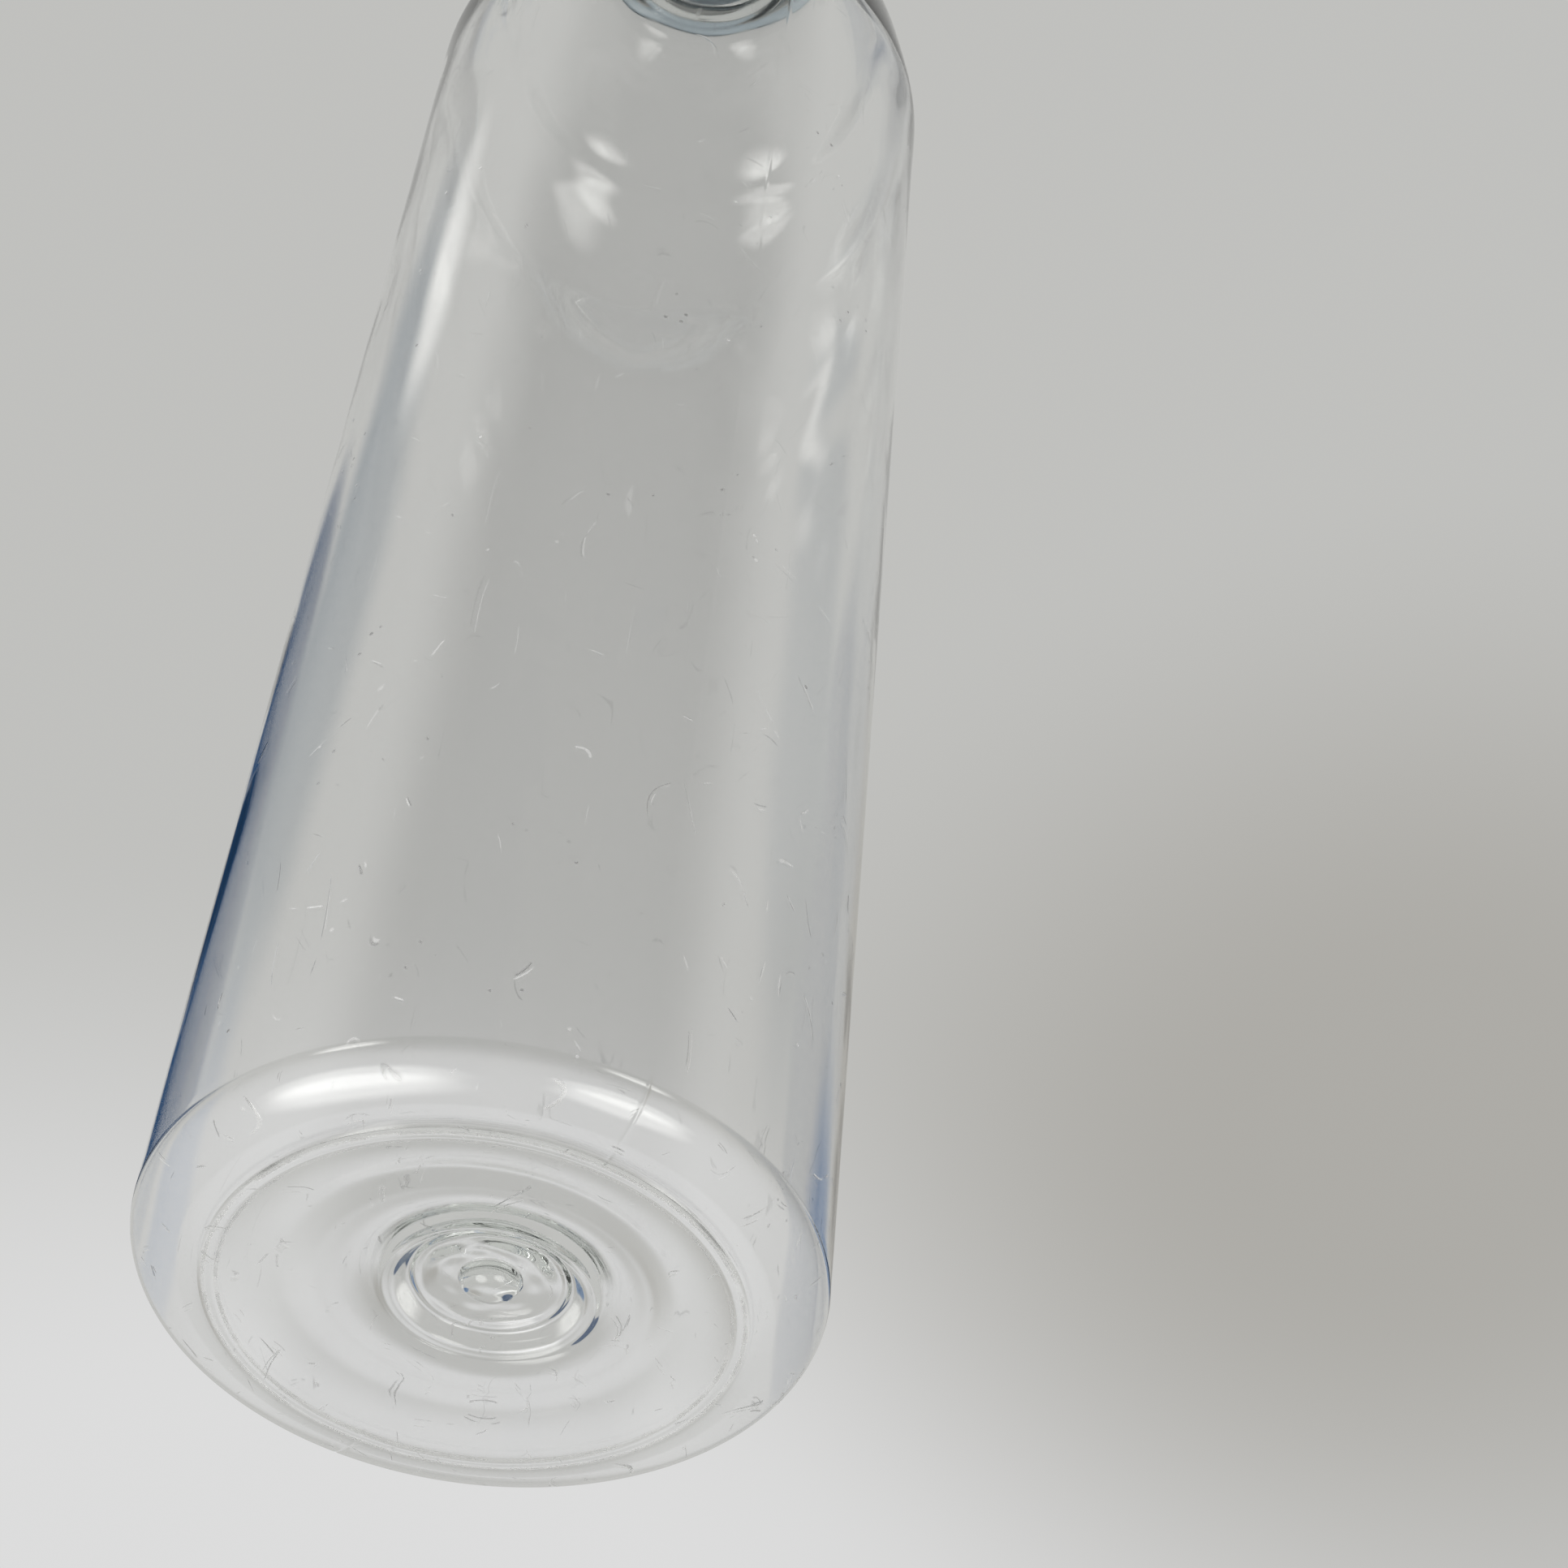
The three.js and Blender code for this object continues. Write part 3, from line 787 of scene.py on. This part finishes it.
def clear_pet():
    """Clear PET: faint flow waves, fine curved scratches, specks of dust and a scuffed foot ring."""
    n = Nodes("clear_pet")
    shader = n.add("ShaderNodeBsdfPrincipled")
    n.set(shader, Base_Color=(1.0, 1.0, 1.0, 1), IOR=1.575)
    place = n.position()
    axes = n.separate(place)
    marks = n.math("MAXIMUM", pet_scratches(n, place, axes["Z"]), pet_specks(n, place))
    wear = n.math("MAXIMUM", marks, pet_foot_scuffs(n, place, axes))
    clearness = n.math("SUBTRACT", 1.0, n.math("MULTIPLY", wear, 0.45))
    n.link(clearness, shader.inputs["Transmission Weight"])
    haze = n.ramp(n.noise(place, 90.0, 4.0, 0.6), 0.45, 0.8, 0.0, 0.03)
    roughness = n.math("ADD", n.math("ADD", haze, 0.012), n.math("MULTIPLY", wear, 0.3))
    n.link(roughness, shader.inputs["Roughness"])

    flow = n.noise(n.position((1, 1, 0.35)), 90.0)
    normal = n.bump(wear, 0.25, 0.00003, n.bump(flow, 0.1, 0.0003))
    n.link(normal, shader.inputs["Normal"])
    absorb = n.add("ShaderNodeVolumeAbsorption")
    n.set(absorb, Color=(0.72, 0.92, 0.74, 1), Density=11.0)
    n.link(shader.outputs[0], n.output.inputs["Surface"])
    n.link(absorb.outputs[0], n.output.inputs["Volume"])
    return n.material


def settled_dust(n, place, low, high):
    """Share of dust on upward faces: most below the height low, little above the height high."""
    geometry = n.add("ShaderNodeNewGeometry")
    upward = n.separate(geometry.outputs["True Normal"])["Z"]
    band = n.ramp(n.separate(place)["Z"], low * MM, high * MM, 1.0, 0.15)
    dust = n.math("MULTIPLY", band, n.ramp(upward, 0.2, 0.8))
    return n.math("MULTIPLY", dust, n.ramp(n.noise(place, 260.0, 5.0, 0.7), 0.42, 0.68))


def moulded_plastic(name, colour, roughness, grain, depth, dust_heights=None):
    """Moulded plastic: cloudy tone, spark-eroded grain, rubbed patches, scratches and settled dust."""
    n = Nodes(name)
    shader = n.add("ShaderNodeBsdfPrincipled")
    place = n.position()
    tone = n.ramp(n.noise(place, 120.0, 4.0, 0.6), 0.3, 0.7)
    shade = n.mix(tone, tuple(c * 0.93 for c in colour), tuple(min(1.0, c * 1.05) for c in colour))
    marks = n.scratches(place, 420.0, 0.007, 0.58)
    shade = n.mix(n.math("MULTIPLY", marks, 0.45), shade, tuple(min(1.0, c * 1.35 + 0.03) for c in colour))
    rubbed = n.ramp(n.noise(place, 70.0, 3.0, 0.65), 0.45, 0.62)
    rough = n.math("ADD", n.math("MULTIPLY", rubbed, -0.1), roughness + 0.05)
    if dust_heights is not None:
        dust = settled_dust(n, place, *dust_heights)
        shade = n.mix(n.math("MULTIPLY", dust, 0.5), shade, (0.3, 0.27, 0.22))
        rough = n.math("ADD", rough, n.math("MULTIPLY", dust, 0.25))
    n.link(shade, shader.inputs["Base Color"])
    n.link(rough, shader.inputs["Roughness"])
    normal = n.bump(n.noise(place, grain), 0.4, depth)
    n.link(n.bump(marks, 0.4, 0.00002, normal), shader.inputs["Normal"])
    n.set(shader, IOR=1.49)
    n.link(shader.outputs[0], n.output.inputs["Surface"])
    return n.material


def washer_rubber():
    """Black rubber with pale bloom and a fine pebbled skin."""
    n = Nodes("washer_rubber")
    shader = n.add("ShaderNodeBsdfPrincipled")
    place = n.position()
    bloom = n.ramp(n.noise(place, 320.0, 5.0, 0.65), 0.45, 0.75)
    n.link(n.mix(bloom, (0.02, 0.02, 0.021), (0.075, 0.075, 0.073)), shader.inputs["Base Color"])
    n.link(n.ramp(n.noise(place, 900.0), 0.3, 0.7, 0.6, 0.85), shader.inputs["Roughness"])
    n.link(n.bump(n.noise(place, 2600.0), 0.5, 0.00003), shader.inputs["Normal"])
    n.link(shader.outputs[0], n.output.inputs["Surface"])
    return n.material


# ---- stage, in metres ----

CAMERA_PLACE = Vector((0.0, -0.2248, -0.1662))
CAMERA_AIM = Vector((0.02195, 0.0, 0.0706))
CAMERA_ROLL = math.radians(5.67)
CAMERA_LENS = 74.1
SENSOR = 36.0

# Broad tones of the room: direction, reach along each axis, share of the reach at full tone, colour.
# Tones above 1 are softboxes. Of the others, the first is the dark above and behind the camera, the
# next two are a pale and a dim part of the backdrop, a painted pool of light and a painted shadow, and the
# last three are bluish parts of the walls.
ROOM_COLOUR = (0.53, 0.53, 0.515)
ROOM_TONES = (
    ((0.0, -0.9, 0.45), (1.3, 0.85, 1.2), 0.65, (0.05, 0.05, 0.048)),
    # painted pool of light on the backdrop
    ((-0.03, 0.845, 0.52), (0.46, 0.3, 0.19), 0.2, (0.72, 0.72, 0.72)),
    # painted shadow on the backdrop
    ((0.27, 0.71, 0.65), (0.24, 0.3, 0.16), 0.2, (0.42, 0.41, 0.385)),
    ((-0.47, 0.6, 0.65), (0.27, 0.3, 0.15), 0.8, (0.02, 0.06, 0.14)),
    ((-0.62, 0.25, 0.74), (0.2, 0.3, 0.14), 0.5, (0.12, 0.17, 0.22)),
    ((0.58, 0.6, 0.55), (0.22, 0.3, 0.14), 0.6, (0.07, 0.16, 0.32)),
    ((-0.42, 0.03, -0.886), (0.4, 0.32, 0.3), 0.5, (4.4, 4.4, 4.3)),
    ((0.375, -0.23, -0.9), (0.31, 0.27, 0.3), 0.5, (4.2, 4.2, 4.1)),
    ((0.57, -0.77, 0.27), (0.24, 0.24, 0.2), 0.4, (3.6, 3.6, 3.5)),
    ((-0.734, -0.621, 0.274), (0.24, 0.24, 0.2), 0.4, (3.6, 3.6, 3.5)),
    ((-0.58, 0.088, 0.81), (0.06, 0.12, 0.06), 0.2, (1.3, 1.3, 1.27)),
)

# Two large lamps aimed at the middle of the bottle: name, direction, width and height, watts.
LAMPS = (
    ("key", (-0.45, -0.6, 0.66), (0.9, 0.7), 16),
    ("rim", (0.6, 0.55, 0.58), (0.7, 0.5), 9),
)
LAMP_AIM = Vector((0, 0, 0.15))
LAMP_DISTANCE = 1.4
FLOOR_HALF_WIDTH = 2.5
FLOOR_COLOUR = (0.62, 0.62, 0.6)


def make_camera():
    data = bpy.data.cameras.new("camera")
    data.sensor_width = SENSOR
    data.lens = CAMERA_LENS
    data.clip_start = 0.005
    data.clip_end = 20
    camera = bpy.data.objects.new("camera", data)
    turn = (CAMERA_AIM - CAMERA_PLACE).to_track_quat("-Z", "Y").to_matrix().to_4x4()
    camera.matrix_world = Matrix.Translation(CAMERA_PLACE) @ turn @ Matrix.Rotation(CAMERA_ROLL, 4, "Z")
    bpy.context.scene.collection.objects.link(camera)
    bpy.context.scene.camera = camera


def vector_node(tree, operation, first, second=None):
    node = tree.nodes.new("ShaderNodeVectorMath")
    node.operation = operation
    tree.links.new(first, node.inputs[0])
    if second is not None:
        node.inputs[1].default_value = second
    return node.outputs


def make_world():
    """A studio of soft elliptical tones, each laid over the ones before it."""
    world = bpy.data.worlds.new("studio")
    bpy.context.scene.world = world
    world.use_nodes = True
    tree = world.node_tree
    direction = tree.nodes.new("ShaderNodeTexCoord").outputs["Generated"]
    colour = None
    for towards, reach, core, tone in ROOM_TONES:
        offset = vector_node(tree, "SUBTRACT", direction, Vector(towards).normalized())[0]
        scaled = vector_node(tree, "DIVIDE", offset, reach)[0]
        share = tree.nodes.new("ShaderNodeMapRange")
        share.interpolation_type = "SMOOTHSTEP"
        share.inputs["From Min"].default_value = 1.0
        share.inputs["From Max"].default_value = core
        tree.links.new(vector_node(tree, "LENGTH", scaled)["Value"], share.inputs["Value"])
        mix = tree.nodes.new("ShaderNodeMixRGB")
        tree.links.new(share.outputs["Result"], mix.inputs[0])
        mix.inputs[1].default_value = (*ROOM_COLOUR, 1)
        if colour is not None:
            tree.links.new(colour, mix.inputs[1])
        mix.inputs[2].default_value = (*tone, 1)
        colour = mix.outputs[0]
    tree.links.new(colour, tree.nodes["Background"].inputs["Color"])


def make_lamp(name, direction, size, power):
    """An area lamp that lights the plastics and never shows as a sharp shape in the clear bottle."""
    data = bpy.data.lights.new(name, "AREA")
    data.shape = "RECTANGLE"
    data.size, data.size_y = size
    data.energy = power
    lamp = bpy.data.objects.new(name, data)
    towards = Vector(direction).normalized()
    turn = towards.to_track_quat("Z", "Y").to_matrix().to_4x4()
    lamp.matrix_world = Matrix.Translation(LAMP_AIM + towards * LAMP_DISTANCE) @ turn
    lamp.visible_glossy = False
    lamp.visible_transmission = False
    bpy.context.scene.collection.objects.link(lamp)


def make_floor():
    """Plain pale paper that can't be seen from below, nor in the bottle."""
    mesh = bpy.data.meshes.new("floor")
    half = FLOOR_HALF_WIDTH
    corners = [(-half, -half, 0), (half, -half, 0), (half, half, 0), (-half, half, 0)]
    mesh.from_pydata(corners, [], [(0, 1, 2, 3)])
    floor = bpy.data.objects.new("floor", mesh)
    bpy.context.scene.collection.objects.link(floor)
    n = Nodes("floor_paper")
    diffuse = n.add("ShaderNodeBsdfDiffuse")
    n.set(diffuse, Color=(*FLOOR_COLOUR, 1))
    clear = n.add("ShaderNodeBsdfTransparent")
    mix = n.add("ShaderNodeMixShader")
    geometry = n.add("ShaderNodeNewGeometry")
    n.link(geometry.outputs["Backfacing"], mix.inputs[0])
    n.link(diffuse.outputs[0], mix.inputs[1])
    n.link(clear.outputs[0], mix.inputs[2])
    n.link(mix.outputs[0], n.output.inputs["Surface"])
    mesh.materials.append(n.material)
    floor.visible_glossy = False
    floor.visible_transmission = False
    floor.visible_shadow = False


def finish_piece(piece, body, node, material):
    """Puts a piece on its body in place of its CAD node, with its finish."""
    piece.data.materials.clear()
    piece.data.materials.append(material)
    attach(piece, body)
    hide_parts(node)


make_camera()
make_world()
make_floor()
for lamp_settings in LAMPS:
    make_lamp(*lamp_settings)

ring_plastic = moulded_plastic("ring_plastic", (0.82, 0.82, 0.79), 0.4, 1500.0, 0.00002)
funnel_plastic = moulded_plastic("funnel_plastic", (0.42, 0.5, 0.56), 0.38, 1300.0, 0.00003, (262.0, 284.0))
screen_plastic = moulded_plastic("screen_plastic", (0.33, 0.4, 0.46), 0.42, 1300.0, 0.00003, (286.0, 292.0))

finish_piece(make_bottle(), "bottle", "bottle", clear_pet())
finish_piece(make_tamper_ring(), "bottle", "tamper_ring", ring_plastic)
finish_piece(make_washer(), "washer", "sealing_washer", washer_rubber())
finish_piece(make_funnel(), "funnel", "funnel", funnel_plastic)
finish_piece(make_screen(), "screen", "debris_screen", screen_plastic)

scene = bpy.context.scene
scene.view_settings.view_transform = "Standard"
scene.cycles.max_bounces = 40
scene.cycles.transmission_bounces = 40
scene.cycles.glossy_bounces = 12
